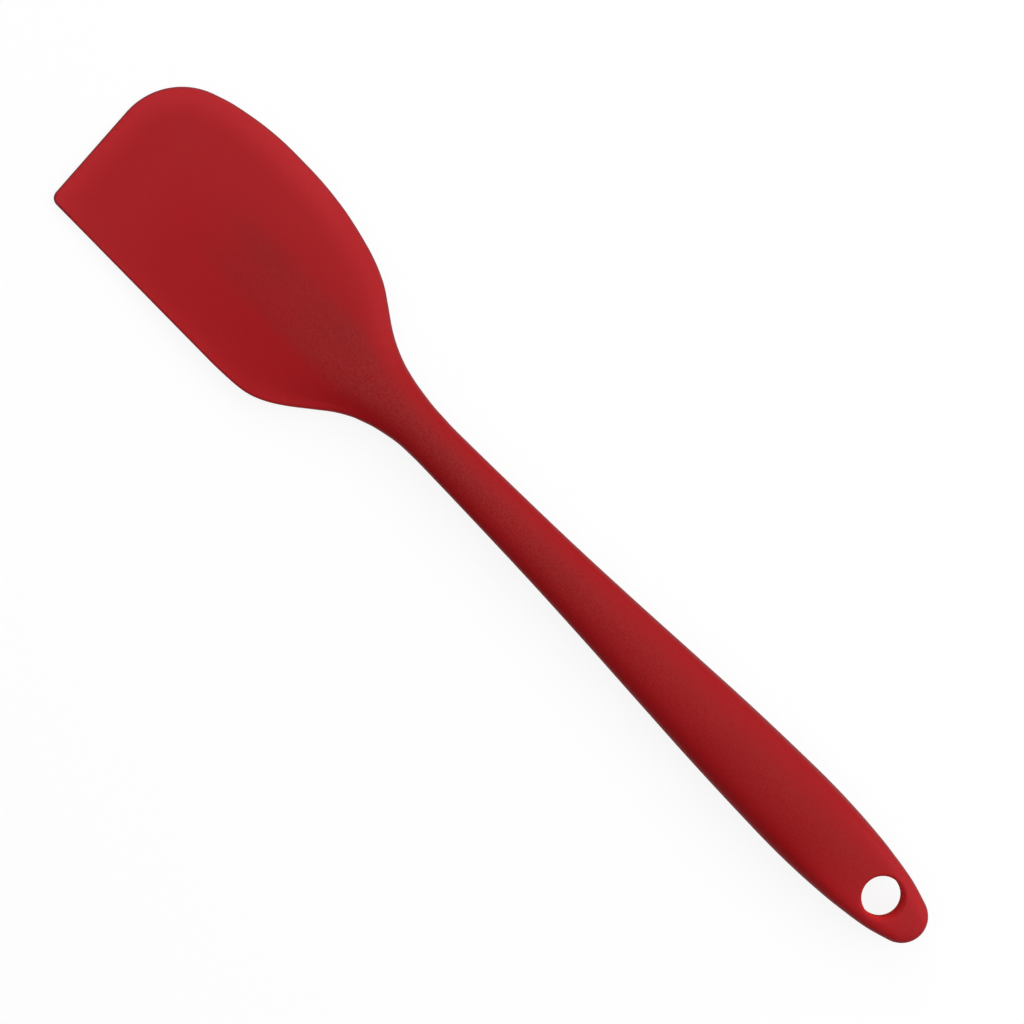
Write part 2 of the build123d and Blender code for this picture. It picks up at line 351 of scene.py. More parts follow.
class SkinRule:
    """Widths, crest and section shape of the skin along its length, and its outline in plan."""

    # Points on a big arc, on the small arc and along each side of the outline
    arc_points = 60
    small_arc_points = 24
    side_points = 1200

    # The straight side is read from this far before its end, and runs level up to this far before it
    straight_lead = 12 * MM
    straight_level = 4 * MM

    # A row this little before the shoulder still belongs to it
    row_slack = 0.1 * MM

    # The most of the half width that the level middle, the flat strip, the paddle's mark, that mark's soft
    # side and its offset may take
    ridge_share = 0.3
    margin_share = 0.14
    paddle_share = 0.5
    soft_share = 0.9
    offset_share = 0.1

    # Width of the core mark's soft side, and the softness of its front over the paddle's width
    core_fade = 4.5 * MM
    front_fade = 1.6

    # Strength of the core's mark at the paddle, its gain towards the neck and its loss in the grip
    paddle_strength = 0.93
    neck_gain = 0.22
    grip_loss = 0.55

    # Strength of the painted light in the straight side's rim, of its loss at the shoulder, of the painted
    # light round the hole, of the painted shade line in the rim and of the painted sheen at the tip
    straight_painted_light = 0.25
    shoulder_loss = 0.7
    tail_painted_light = 0.6
    painted_shade_strength = 0.75
    sheen_strength = 0.8

    # Where each mark starts and where it is full, measured from the tip, axis, edge or hole
    tip_light = (14 * MM, 4 * MM)
    tip_sheen = (48 * MM, 8 * MM)
    side_light = (0, 10 * MM)
    edge_light = (1.3 * MM, 0)
    painted_shade_line = (0.8 * MM, 0)
    tail_light = (-30 * MM, 12 * MM)

    # The same in shares: of the blade's length, of the way from neck to grip and of the half width
    neck_deepening = (0.35, 0.975)
    shoulder_shade = (0.3, 0.6846)
    grip_fading = (0, 0.909)
    side_sheen = (-0.5, 0.4)

    def __init__(self, sizes):
        self.sizes = sizes
        self.tip = LOW.x + sizes.seam_radius / 2
        self.tail = HIGH.x - sizes.seam_radius / 2
        self.neck = LOW.x + sizes.blade_length
        self.peak = HIGH.x - sizes.grip_peak_to_tail
        self.half_width = BLADE_WIDTH / 2 - sizes.seam_radius / 2
        self.grip_half = GRIP_THICKNESS / 2
        self.middle = LOW.z + self.grip_half
        self.edge_half = sizes.blade_edge / 2
        self.left_neck = sizes.neck_width / 2 + sizes.neck_offset
        self.right_neck = sizes.neck_width / 2 - sizes.neck_offset
        self.nose_middle = self.tail - sizes.nose_radius
        self.nose_start = self.nose_middle + sizes.nose_radius * sin(sizes.nose_turn)
        self.hole_x = HOLE["pos_m"][0]
        self.hole_radius = HOLE["dims"]["r_mm"] * MM
        self.rows = np.array(self.blade_rows() + self.grip_rows() + self.tail_rows())

    def blade_rows(self):
        """Place, half widths of the straight and the rounded side, crest, oval and flatness of each row."""
        neck_half = self.sizes.neck_thickness / 2
        return [(LOW.x + place * self.sizes.blade_length,
                 self.left_neck + (self.half_width - self.left_neck) * left,
                 self.right_neck + (self.half_width - self.right_neck) * right,
                 self.edge_half + (neck_half - self.edge_half) * crest,
                 oval, 0.0)
                for place, left, right, crest, oval in BLADE_ROW_SHARES]

    def grip_rows(self):
        grip = self.sizes.grip_width / 2
        neck_half = self.sizes.neck_thickness / 2
        return [(self.neck + place * (self.peak - self.neck),
                 self.left_neck + (grip - self.left_neck) * width,
                 self.right_neck + (grip - self.right_neck) * width,
                 neck_half + (self.grip_half - neck_half) * height,
                 1.0, flatness)
                for place, width, height, flatness in GRIP_ROW_SHARES]

    def tail_rows(self):
        grip = self.sizes.grip_width / 2
        tail_half = self.sizes.tail_thickness / 2
        return [(self.peak + place * (self.nose_start - self.peak), grip * width, grip * width,
                 tail_half + (self.grip_half - tail_half) * height, 1.0, flatness)
                for place, width, height, flatness in TAIL_ROW_SHARES]

    def read(self, column, x):
        return smooth_read(self.rows[:, 0], self.rows[:, column], x)

    def mid_height(self, x):
        """Height of the middle surface: level in the grip, bent at the neck, dropping to the tip."""
        drop = asin((self.grip_half - self.sizes.tip_rest) / self.sizes.blade_length)
        reach = self.sizes.bend_reach
        radius = reach / tan(drop / 2)
        run = x - self.neck
        bent = self.middle - radius + np.sqrt(radius**2 - np.clip(reach - run, 0, 2 * reach) ** 2)
        return np.where(run < -reach * cos(drop), self.middle + run * tan(drop), bent)

    def crown_share(self, y, half):
        """How far a point is down the slope from the level middle to the flat strip at the edge."""
        sizes = self.sizes
        ridge = np.minimum(sizes.blade_ridge, self.ridge_share * half)
        margin = np.where(y < 0, sizes.straight_margin, sizes.rounded_margin)
        margin = np.minimum(margin, self.margin_share * half)
        return np.clip((np.abs(y) - ridge) / (half - margin - ridge), 0, 1)

    def core_mark(self, x, y, half):
        """Where the skin lies over the paddle and the core."""
        sizes = self.sizes
        run = x - self.tip
        front = sizes.paddle_to_tip
        bow = sizes.paddle_width
        nose = np.sqrt(np.clip(1 - np.clip((front + bow - run) / bow, 0, 1) ** 2, 0, 1))
        paddle_half = np.minimum(bow / 2 * nose, self.paddle_share * half)
        soft = np.minimum(self.core_fade, self.soft_share * half)
        offset = np.abs(y + np.minimum(sizes.paddle_offset, self.offset_share * half))
        core = eased((paddle_half - offset) / soft + 0.5) * ramp(run, front, front + self.front_fade * bow)
        in_grip = ramp((x - self.neck) / (self.peak - self.neck), *self.grip_fading)
        near_neck = ramp(run / sizes.blade_length, *self.neck_deepening)
        return core * (1 - self.grip_loss * in_grip) * (self.paddle_strength + self.neck_gain * near_neck)

    def marks(self, x, y, distance):
        """What the finish needs: the core's mark, the painted light and the painted shade line in the rim,
        and the painted sheen.
        """
        sizes = self.sizes
        run = x - self.tip
        half = np.where(y < 0, self.read(1, x), self.read(2, x))
        # The lit side and the tip, where the painted light and the painted shade line are strongest
        side = np.maximum(ramp(y, *self.side_light), ramp(run, *self.tip_light))
        flat = 1 - np.clip(self.read(4, x), 0, 1)
        shoulder = 1 - self.shoulder_loss * ramp(run / sizes.blade_length, *self.shoulder_shade)
        share = self.straight_painted_light + (1 - self.straight_painted_light) * side
        # Painted light in the rim, weaker on the straight side and past the shoulder, with a bright band
        # right at the blade's edge
        glow = ramp(distance, sizes.painted_light_reach, 0) * share * flat * shoulder
        glow = np.maximum(glow, ramp(distance, *self.edge_light) * flat)
        # Painted light along the tail, round the hole
        tail = ramp(x - self.hole_x, *self.tail_light)
        # Painted sheen over the lit side of the width and towards the tip
        painted_sheen = np.maximum(ramp(y / half, *self.side_sheen), self.sheen_strength * ramp(run, *self.tip_sheen))
        return {
            "core": self.core_mark(x, y, half),
            "painted_rim_light": np.maximum(glow, self.tail_painted_light * tail),
            # Painted shade: a dark line within the rim's outer edge, on the lit side, at the tip and along
            # the tail
            "painted_rim_shade": ramp(distance, *self.painted_shade_line) * np.maximum(side, tail) * self.painted_shade_strength,
            "painted_sheen": painted_sheen,
        }

    def outline(self):
        """Closed outline in plan, once round, with an even spacing of points."""
        sizes = self.sizes
        corner = sizes.tip_corner_radius
        corner_x = self.tip + corner
        corner_y = self.half_width - sizes.tip_corner_drop - corner * sin(sizes.tip_corner_turn)
        angles = np.linspace(-sizes.tip_skew, sizes.tip_corner_turn, self.arc_points)
        big_corner = np.column_stack((corner_x - corner * np.cos(angles),
                                      corner_y + corner * np.sin(angles)))
        tip_end = big_corner[0]
        point_x = tip_end[0] + (tip_end[1] + self.half_width) * tan(sizes.tip_skew)
        turn = (pi / 2 - sizes.tip_skew) / 2
        small = sizes.tip_point_radius
        small_x = point_x + small * tan(turn)
        small_y = -self.half_width + small
        angles = np.linspace(-pi / 2, -sizes.tip_skew, self.small_arc_points)
        small_corner = np.column_stack((small_x - small * np.cos(angles), small_y + small * np.sin(angles)))
        rounded = [(LOW.x + place * sizes.blade_length, self.half_width * width)
                   for place, width in ROUNDED_EDGE_SHARES]
        shoulder_start = LOW.x + SHOULDER_SHARE * sizes.blade_length
        rounded_x = [big_corner[-1][0], *(x for x, _ in rounded)]
        rounded_y = [big_corner[-1][1], *(y for _, y in rounded)]
        after = [row for row in self.rows if row[0] >= shoulder_start - self.row_slack]
        rounded_x += [row[0] for row in after]
        rounded_y += [row[2] for row in after]
        x = np.linspace(rounded_x[0], self.nose_start, self.side_points)
        right_side = np.column_stack((x, smooth_read(rounded_x, rounded_y, x)))
        angles = np.linspace(pi / 2 - sizes.nose_turn, sizes.nose_turn - pi / 2, self.arc_points)
        nose = np.column_stack((self.nose_middle + sizes.nose_radius * np.cos(angles),
                                sizes.nose_radius * np.sin(angles)))
        straight_end = LOW.x + STRAIGHT_END_SHARE * sizes.blade_length
        left_rows = [row for row in self.rows if row[0] >= straight_end]
        left_x = [straight_end - self.straight_lead, straight_end - self.straight_level,
                  *(row[0] for row in left_rows)]
        left_y = [self.half_width, self.half_width, *(row[1] for row in left_rows)]
        x = np.linspace(self.nose_start, left_x[0], self.side_points)
        left_side = np.column_stack((x, -np.minimum(smooth_read(left_x, left_y, x), self.half_width)))
        path = np.vstack((small_corner, big_corner, right_side[1:], nose[1:], left_side[1:]))
        return even_loop(path, sizes.point_spacing / 2)


# Points of the fill closer than this, in millimetres, count as one
SAME_POINT = 1e-6


def closed_edges(first, count):
    """The sides of a closed ring of points, numbered from its first."""
    return [(first + number, first + (number + 1) % count) for number in range(count)]


def even_loop(path, spacing):
    """The same closed path with evenly spaced points."""
    closed = np.vstack((path, path[:1]))
    steps = np.hypot(*np.diff(closed, axis=0).T)
    run = np.concatenate(([0], np.cumsum(steps)))
    count = int(run[-1] / spacing)
    at = np.arange(count) * run[-1] / count
    return np.column_stack((np.interp(at, run, closed[:, 0]), np.interp(at, run, closed[:, 1])))


def loop_normals(loop):
    """Inward unit normals of a closed clockwise loop."""
    along = np.roll(loop, -1, axis=0) - np.roll(loop, 1, axis=0)
    along /= np.hypot(*along.T)[:, None]
    return np.column_stack((along[:, 1], -along[:, 0]))


def distance_to_loop(points, loop):
    """Distance from each point to the nearest side of the closed loop."""
    ends = np.roll(loop, -1, axis=0)
    along = ends - loop
    length_squared = (along**2).sum(1)
    distances = np.empty(len(points))
    for number, point in enumerate(points):
        offset = point - loop
        share = np.clip((offset * along).sum(1) / length_squared, 0, 1)
        gap = offset - along * share[:, None]
        distances[number] = sqrt((gap**2).sum(1).min())
    return distances


def inside_loop(points, loop):
    """Which points lie inside the closed loop."""
    inside = np.zeros(len(points), bool)
    ends = np.roll(loop, -1, axis=0)
    for (ax, ay), (bx, by) in zip(loop, ends):
        crosses = (ay > points[:, 1]) != (by > points[:, 1])
        if ay != by:
            at = (bx - ax) * (points[:, 1] - ay) / (by - ay) + ax
            inside ^= crosses & (points[:, 0] < at)
    return inside


def store(mesh, values_by_name):
    """Stores a number for each of the mesh's points under each name."""
    for name, values in values_by_name.items():
        mesh.attributes.new(name, "FLOAT", "POINT").data.foreach_set("value", values.astype(np.float32))


class PlanMesh:
    """Flat mesh of the outline, with rings of points along the rim and the hole and a filled middle."""

    rim_rings = 10
    hole_rings = 6
    hole_points = 96

    # Depth of the rim's rings in the thick grip and the thin blade, which counts as this share of the grip
    thick_rim = 2.6 * MM
    thin_rim = 0.9 * MM
    thinnest_share = 0.18

    # Over the spacing: the columns' step, and the least distances of a point from the rim and from the hole
    column_step = 0.87
    rim_gap = 0.45
    hole_gap = 0.3

    # Height of the hole wall's two rings over the skin's, and the width of the wall's soft mark
    wall_heights = (0.0, 0.5)
    hole_fade = 0.3 * MM

    def __init__(self, rule):
        self.rule = rule
        self.hole_round = rule.sizes.hole_edge_round
        self.points = []
        self.faces = []
        self.distance = []
        self.wall = []

    def add(self, points, distances, wall=1.0):
        first = sum(len(block) for block in self.points)
        self.points.append(np.asarray(points))
        self.distance.append(np.broadcast_to(distances, len(points)))
        self.wall.append(np.full(len(points), wall))
        return np.arange(first, first + len(points))

    def band(self, outer, inner):
        """Faces between two closed rings of as many points, wound to face up."""
        for number in range(len(outer)):
            after = (number + 1) % len(outer)
            self.faces.append((outer[number], inner[number], inner[after], outer[after]))

    def rim(self):
        rule = self.rule
        loop = rule.outline()
        normals = loop_normals(loop)
        thick = np.clip(rule.read(3, loop[:, 0]) / rule.grip_half, self.thinnest_share, 1)
        depth = self.thick_rim * thick + self.thin_rim * (1 - thick)
        before = self.add(loop, 0.0)
        for ring in range(1, self.rim_rings + 1):
            inset = depth * (1 - cos(ring / self.rim_rings * pi / 2))
            inner = self.add(loop + normals * inset[:, None], inset)
            self.band(before, inner)
            before = inner
        return loop, loop + normals * depth[:, None], before

    def hole(self):
        rule = self.rule
        angles = np.linspace(0, -2 * pi, self.hole_points, endpoint=False)
        circle = np.column_stack((np.cos(angles), np.sin(angles)))
        middle = np.array((rule.hole_x, 0.0))
        radii = [rule.hole_radius + self.hole_round * (1 - cos(ring / self.hole_rings * pi / 2))
                 for ring in range(self.hole_rings + 1)]
        points = middle + circle * radii[0]
        waist, after = (self.add(points, self.flank_distance(points), wall) for wall in self.wall_heights)
        self.band(after, waist)
        for radius in radii:
            points = middle + circle * radius
            ring = self.add(points, self.flank_distance(points))
            self.band(ring, after)
            after = ring
        return middle + circle * radii[-1], after

    def flank_distance(self, points):
        return distance_to_loop(points, self.loop)

    def fill(self, rim_loop, rim_ids, hole_loop, hole_ids):
        """Triangles between the last rim ring and the last hole ring, through evenly placed points."""
        spacing = self.rule.sizes.point_spacing
        columns = np.arange(LOW.x, HIGH.x, spacing * self.column_step)
        rows = np.arange(LOW.y, HIGH.y, spacing)
        grid = np.array([(x, y + (number % 2) * spacing / 2)
                         for number, x in enumerate(columns) for y in rows])
        grid = grid[inside_loop(grid, rim_loop)]
        far = distance_to_loop(grid, rim_loop) > spacing * self.rim_gap
        from_hole = np.hypot(grid[:, 0] - self.rule.hole_x, grid[:, 1])
        hole_outer = self.rule.hole_radius + self.hole_round
        grid = grid[far & (from_hole > hole_outer + spacing * self.hole_gap)]
        grid_ids = self.add(grid, self.flank_distance(grid))
        points = np.vstack((rim_loop, hole_loop, grid))
        ids = np.concatenate((rim_ids, hole_ids, grid_ids))
        edges = closed_edges(0, len(rim_loop)) + closed_edges(len(rim_loop), len(hole_loop))
        scaled = [Vector(point / MM) for point in points]
        vertices, _, faces, origins, _, _ = delaunay_2d_cdt(scaled, edges, [], 0, SAME_POINT)
        corners = np.array(vertices) * MM
        middles = np.array([corners[list(face)].mean(0) for face in faces])
        keep = inside_loop(middles, rim_loop)
        from_hole = np.hypot(middles[:, 0] - self.rule.hole_x, middles[:, 1])
        keep &= from_hole > hole_outer * cos(pi / self.hole_points)
        for face, wanted in zip(faces, keep):
            if not wanted:
                continue
            corner_ids = [int(ids[origins[corner][0]]) for corner in face]
            a, b, c = (corners[corner] for corner in face)
            turn = (b[0] - a[0]) * (c[1] - a[1]) - (b[1] - a[1]) * (c[0] - a[0])
            self.faces.append(tuple(corner_ids if turn > 0 else reversed(corner_ids)))

    def build(self, name):
        """The flat mesh object with what the skin's rule needs stored on its points."""
        self.loop, rim_loop, rim_ids = self.rim()
        hole_loop, hole_ids = self.hole()
        self.fill(rim_loop, rim_ids, hole_loop, hole_ids)
        points = np.vstack(self.points)
        mesh = bpy.data.meshes.new(name)
        faces = [tuple(int(corner) for corner in face) for face in self.faces]
        mesh.from_pydata([(x, y, 0.0) for x, y in points], [], faces)
        rule = self.rule
        x, y = points.T
        half = np.where(y < 0, rule.read(1, x), rule.read(2, x))
        distance = np.concatenate(self.distance)
        from_hole = np.hypot(x - rule.hole_x, y)
        stored = {
            "edge_distance": distance,
            "wall": np.concatenate(self.wall),
            "crest": rule.read(3, x),
            "oval": np.clip(rule.read(4, x), 0, 1),
            "flatness": np.clip(rule.read(5, x), 0, 1),
            "middle": rule.mid_height(x),
            "width_share": np.clip(np.abs(y) / half, 0, 1),
            "crown_share": rule.crown_share(y, half),
            "rounded_side": eased(y / rule.sizes.blade_ridge),
            "inside_hole": eased((rule.hole_radius - from_hole) / self.hole_fade + 1),
            # The core's mark, the painted light and painted shade line in the rim, and the painted sheen
            **rule.marks(x, y, distance),
        }
        store(mesh, stored)
        piece = bpy.data.objects.new(name, mesh)
        bpy.context.scene.collection.objects.link(piece)
        return piece


def new_geometry_tree(name, inputs):
    """An empty geometry tree with its named inputs, and the nodes at its two ends."""
    group = bpy.data.node_groups.new(name, "GeometryNodeTree")
    group.interface.new_socket("Geometry", in_out="INPUT", socket_type="NodeSocketGeometry")
    for label, kind in inputs.items():
        group.interface.new_socket(label, in_out="INPUT", socket_type=kind)
    group.interface.new_socket("Geometry", in_out="OUTPUT", socket_type="NodeSocketGeometry")
    tree = Tree(group)
    return group, tree, tree.add("NodeGroupInput"), tree.add("NodeGroupOutput")


def finish_tree(tree, geometry, start, end):
    """Ends a geometry tree: smooth faces, real mesh and the material that it's given."""
    smooth = tree.add("GeometryNodeSetShadeSmooth", values={"Geometry": geometry})
    real = tree.add("GeometryNodeRealizeInstances", values={"Geometry": smooth.outputs[0]})
    painted = tree.add("GeometryNodeSetMaterial",
                       values={"Geometry": real.outputs[0], "Material": start.outputs["Finish"]})
    tree.links.new(painted.outputs[0], end.inputs[0])


def run_tree(piece, group, values):
    """Runs a geometry tree on a piece with the given inputs and keeps the result as a plain mesh."""
    modifier = piece.modifiers.new(group.name, "NODES")
    modifier.node_group = group
    for item in group.interface.items_tree:
        if item.in_out == "INPUT" and item.name in values:
            modifier[item.identifier] = values[item.name]
    bpy.context.view_layer.update()
    evaluated = piece.evaluated_get(bpy.context.evaluated_depsgraph_get())
    mesh = bpy.data.meshes.new_from_object(evaluated)
    piece.modifiers.remove(modifier)
    return mesh


FLOAT = "NodeSocketFloat"

# The upper and lower faces meet where their points are closer than this
MERGE_DISTANCE = 0.002 * MM

# What the skin's mesh needs no longer once it is raised
STORED_NAMES = ("edge_distance", "wall", "crest", "oval", "flatness", "middle", "width_share",
                "crown_share", "rounded_side")


def skin_tree():
    """Raises the flat plan into the skin's upper and lower faces by one rule for every section."""
    sizes = ("Edge half", "Web half", "Web reach", "Edge round", "Tail round", "Straight bend",
             "Rounded bend", "Hole x", "Hole radius", "Hole round", "Full depth")
    group, tree, start, end = new_geometry_tree(
        "Moulded skin", {**dict.fromkeys(sizes, FLOAT), "Finish": "NodeSocketMaterial"})

    def given(name):
        return Term(tree, start.outputs[name])

    def stored(name):
        node = tree.add("GeometryNodeInputNamedAttribute", {"data_type": "FLOAT"}, {"Name": name})
        return tree.term(node)

    def rounded(distance, radius):
        inward = 1 - (distance / radius).least(1)
        return (1 - inward * inward).most(0).root()

    distance = stored("edge_distance")
    oval = stored("oval")
    flatness = stored("flatness")
    width = stored("width_share")
    crown = stored("crown_share")
    edge_half = given("Edge half")
    edge = edge_half + (given("Web half") - edge_half) * (distance / given("Web reach")).eased()
    straight_bend = given("Straight bend")
    bend = straight_bend + (given("Rounded bend") - straight_bend) * stored("rounded_side")
    arch = (1 - crown * crown).most(0) ** bend
    ellipse = (1 - width * width).most(0).root()
    pad = rounded(distance, given("Tail round"))
    section = arch * (1 - oval) + (ellipse * (1 - flatness) + pad * flatness) * oval
    rim = rounded(distance, given("Edge round"))
    height = edge * rim + (stored("crest") - edge).most(0) * section
    place = tree.add("GeometryNodeInputPosition")
    parts = tree.add("ShaderNodeSeparateXYZ", values={"Vector": place.outputs[0]})
    x = tree.term(parts, 0)
    y = tree.term(parts, 1)
    from_axis = ((x - given("Hole x")) ** 2 + y * y).root()
    hole_round = given("Hole round")
    inward = hole_round - (from_axis - given("Hole radius")).most(0).least(hole_round)
    rolled = hole_round - (hole_round * hole_round - inward * inward).most(0).root()
    height = (height - rolled) * stored("wall")
    depth = height * (1 - oval) + stored("crest") * oval
    deepened = tree.add("GeometryNodeStoreNamedAttribute", {"data_type": "FLOAT", "domain": "POINT"}, {
        "Geometry": start.outputs["Geometry"], "Name": "depth",
        "Value": ((depth - edge_half) / given("Full depth")).eased()})
    joined = tree.add("GeometryNodeJoinGeometry")
    for side in (-1, 1):
        raised = tree.add("ShaderNodeCombineXYZ",
                          values={"X": x, "Y": y, "Z": stored("middle") + height * side})
        moved = tree.add("GeometryNodeSetPosition",
                         values={"Geometry": deepened.outputs[0], "Position": raised.outputs[0]})
        out = moved.outputs[0]
        if side < 0:
            out = tree.add("GeometryNodeFlipFaces", values={"Mesh": out}).outputs[0]
        tree.links.new(out, joined.inputs[0])
    merged = tree.add("GeometryNodeMergeByDistance",
                      values={"Geometry": joined.outputs[0], "Distance": MERGE_DISTANCE})
    finish_tree(tree, merged.outputs[0], start, end)
    return group


def seam_tree():
    """Sweeps a fine round bead along the outline, where the two halves of the mould meet."""
    group, tree, start, end = new_geometry_tree(
        "Parting line", {"Bead radius": FLOAT, "Sides": "NodeSocketInt", "Finish": "NodeSocketMaterial"})
    path = tree.add("GeometryNodeMeshToCurve", values={"Mesh": start.outputs["Geometry"]})
    ring = tree.add("GeometryNodeCurvePrimitiveCircle",
                    values={"Resolution": start.outputs["Sides"], "Radius": start.outputs["Bead radius"]})
    bead = tree.add("GeometryNodeCurveToMesh",
                    values={"Curve": path.outputs[0], "Profile Curve": ring.outputs[0]})
    finish_tree(tree, bead.outputs[0], start, end)
    return group


def keep_mesh(name, mesh):
    """A finished piece from a plain mesh, riding on the one body."""
    for stored_name in STORED_NAMES:
        if stored_name in mesh.attributes:
            mesh.attributes.remove(mesh.attributes[stored_name])
    piece = bpy.data.objects.new(name, mesh)
    bpy.context.scene.collection.objects.link(piece)
    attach(piece, "root")
    return piece


def new_material(name):
    """A material with its shader, and the tree that makes it."""
    material = bpy.data.materials.new(name)
    material.use_nodes = True
    tree = Tree(material.node_tree)
    shader = next(node for node in material.node_tree.nodes if node.type == "BSDF_PRINCIPLED")
    return material, tree, shader


def seen_directly(tree):
    """1 for what is seen, also in a reflection or through glass, and 0 for what only lights others."""
    path = tree.add("ShaderNodeLightPath").outputs
    return Term(tree, path["Is Camera Ray"]).most(path["Is Glossy Ray"]).most(path["Is Transmission Ray"])


def noise(tree, scale, detail, roughness=0.5):
    """Noise on Object coordinates, with one scale or one for each axis."""
    where = tree.add("ShaderNodeTexCoord").outputs["Object"]
    if isinstance(scale, tuple):
        where = tree.add("ShaderNodeMapping", values={"Vector": where, "Scale": scale}).outputs[0]
        scale = 1.0
    node = tree.add("ShaderNodeTexNoise", {"noise_dimensions": "3D"},
                    {"Vector": where, "Scale": scale, "Detail": detail, "Roughness": roughness})
    return tree.term(node)


def kept(tree, name):
    """A number that the piece's mesh keeps on its points."""
    return tree.term(tree.add("ShaderNodeAttribute", {"attribute_name": name}), "Fac")


def tint(tree, share, first, second):
    """A share of the second colour over the first."""
    mix = tree.add("ShaderNodeMix", {"data_type": "RGBA"})
    tree.feed(mix.inputs[0], share)
    for slot, shade in ((mix.inputs[6], first), (mix.inputs[7], second)):
        tree.feed(slot, shade if isinstance(shade, bpy.types.NodeSocket) else (*shade, 1.0))
    return mix.outputs[2]


def around(value, middle, spread):
    """Noise brought round another middle, with another spread."""
    return middle + (value - 0.5) * spread


def add_bump(tree, shader, height, strength, depth):
    """Roughens the shader's surface by a height."""
    bump = tree.add("ShaderNodeBump", values={"Strength": strength, "Distance": depth, "Height": height})
    tree.feed(shader.inputs["Normal"], bump.outputs[0])


def silicone_material(finishes):
    """Matte silicone: an even red with a fine moulded grain and a faint greyish bloom, with painted light,
    painted shade and a painted sheen laid into its colour.
    """
    material, tree, shader = new_material("silicone_matte_red")
    cloud = noise(tree, scale=38.0, detail=2.0)
    grain = noise(tree, scale=1400.0, detail=3.0, roughness=0.6)
    speck = noise(tree, scale=2700.0, detail=1.0)
    patches = noise(tree, scale=(42.0, 110.0, 110.0), detail=2.0)
    core = kept(tree, "core")
    depth = kept(tree, "depth")
    in_hole = kept(tree, "inside_hole")

    # Specks are faint everywhere, stronger over the core and strongest where the silicone is thick as well;
    # they are partly the grain's own bloom and partly a painted sheen along the thick crest
    speck_strength = 0.05 + core * (0.04 + depth * depth * 0.18)
    specks = around(speck, middle=0.5, spread=5.5).eased() * speck_strength
    # Grain bloom and painted sheen: the specks, the painted sheen on the lit side and at the tip, and a
    # random cloud
    bloom_and_sheen = specks + kept(tree, "painted_sheen") * 0.09 + (cloud - 0.5) * 0.08

    # Colours laid over one another, each with its share
    body = tuple(finishes.silicone)
    layers = (
        (depth, finishes.silicone_deep),
        # Painted light in the thin rim
        (kept(tree, "painted_rim_light") * around(cloud, middle=0.85, spread=0.4), finishes.silicone_painted_light),
        (core * around(patches, middle=0.42, spread=0.9), finishes.silicone_core),
        # Painted light on the hole's wall
        (in_hole * 0.9, finishes.silicone_painted_hole_light),
        # Painted shade along the rim's outer edge
        (kept(tree, "painted_rim_shade"), finishes.silicone_painted_shade),
        # The grain's bloom and the painted sheen
        (bloom_and_sheen.most(0).least(1), finishes.silicone_bloom_and_sheen),
    )
    for share, colour_over in layers:
        body = tint(tree, share, body, tuple(colour_over))
    tree.feed(shader.inputs["Base Color"], body)
    rough = around(grain, middle=0.56, spread=0.16) + (cloud - 0.5) * 0.06
    tree.feed(shader.inputs["Roughness"], rough + in_hole * 0.3)
    shader.inputs["Subsurface Weight"].default_value = 0.35
    shader.inputs["Subsurface Radius"].default_value = (1.0, 0.12, 0.10)
    shader.inputs["Subsurface Scale"].default_value = 4 * MM
    shader.inputs["Specular IOR Level"].default_value = 0.095
    shader.inputs["IOR"].default_value = 1.42
    add_bump(tree, shader, grain, strength=0.35, depth=0.04 * MM)
    return material


def steel_material(finishes):
    """Stamped stainless strip with rolling lines along its length."""
    material, tree, shader = new_material("stainless_strip")
    lines = noise(tree, scale=(40.0, 2600.0, 900.0), detail=2.0)
    steel = tuple(finishes.steel)
    darker = tuple(0.82 * part for part in steel)
    tree.feed(shader.inputs["Base Color"], tint(tree, lines, steel, darker))
    tree.feed(shader.inputs["Roughness"], around(lines, middle=0.35, spread=0.18))
    shader.inputs["Metallic"].default_value = 1.0
    add_bump(tree, shader, lines, strength=0.2, depth=0.03 * MM)
    return material


def nylon_material(finishes):
    """Glass-filled nylon with the cloudy flow of its filler."""
    material, tree, shader = new_material("filled_nylon")
    flow = noise(tree, scale=120.0, detail=4.0, roughness=0.6)
    fibres = noise(tree, scale=1700.0, detail=2.0)
    nylon = tuple(finishes.nylon)
    paler = tuple(1.7 * part for part in nylon)
    tree.feed(shader.inputs["Base Color"], tint(tree, flow, nylon, paler))
    tree.feed(shader.inputs["Roughness"], around(fibres, middle=0.52, spread=0.2))
    add_bump(tree, shader, fibres, strength=0.3, depth=0.04 * MM)
    return material


class SPATULA_OT_skin(Operator):
    """Mould the silicone skin: blade, neck, grip and hanging hole in one piece"""

    bl_idname = "spatula.skin"
    bl_label = "Silicone skin"

    def execute(self, context):
        sizes = context.scene.spatula_sizes
        rule = SkinRule(sizes)
        plan = PlanMesh(rule).build("skin_plan")
        material = silicone_material(context.scene.spatula_finishes)
        mesh = run_tree(plan, skin_tree(), {
            "Edge half": rule.edge_half,
            "Web half": sizes.blade_web / 2,
            "Web reach": sizes.blade_web_reach,
            "Edge round": rule.edge_half,
            "Tail round": sizes.tail_round,
            "Straight bend": sizes.straight_bend,
            "Rounded bend": sizes.rounded_bend,
            "Hole x": rule.hole_x,
            "Hole radius": rule.hole_radius,
            "Hole round": sizes.hole_edge_round,
            "Full depth": sizes.neck_thickness / 2 - rule.edge_half,
            "Finish": material})
        bpy.data.objects.remove(plan)
        skin = keep_mesh("silicone_skin_moulded", mesh)
        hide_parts("silicone_skin")
        return {"FINISHED"}


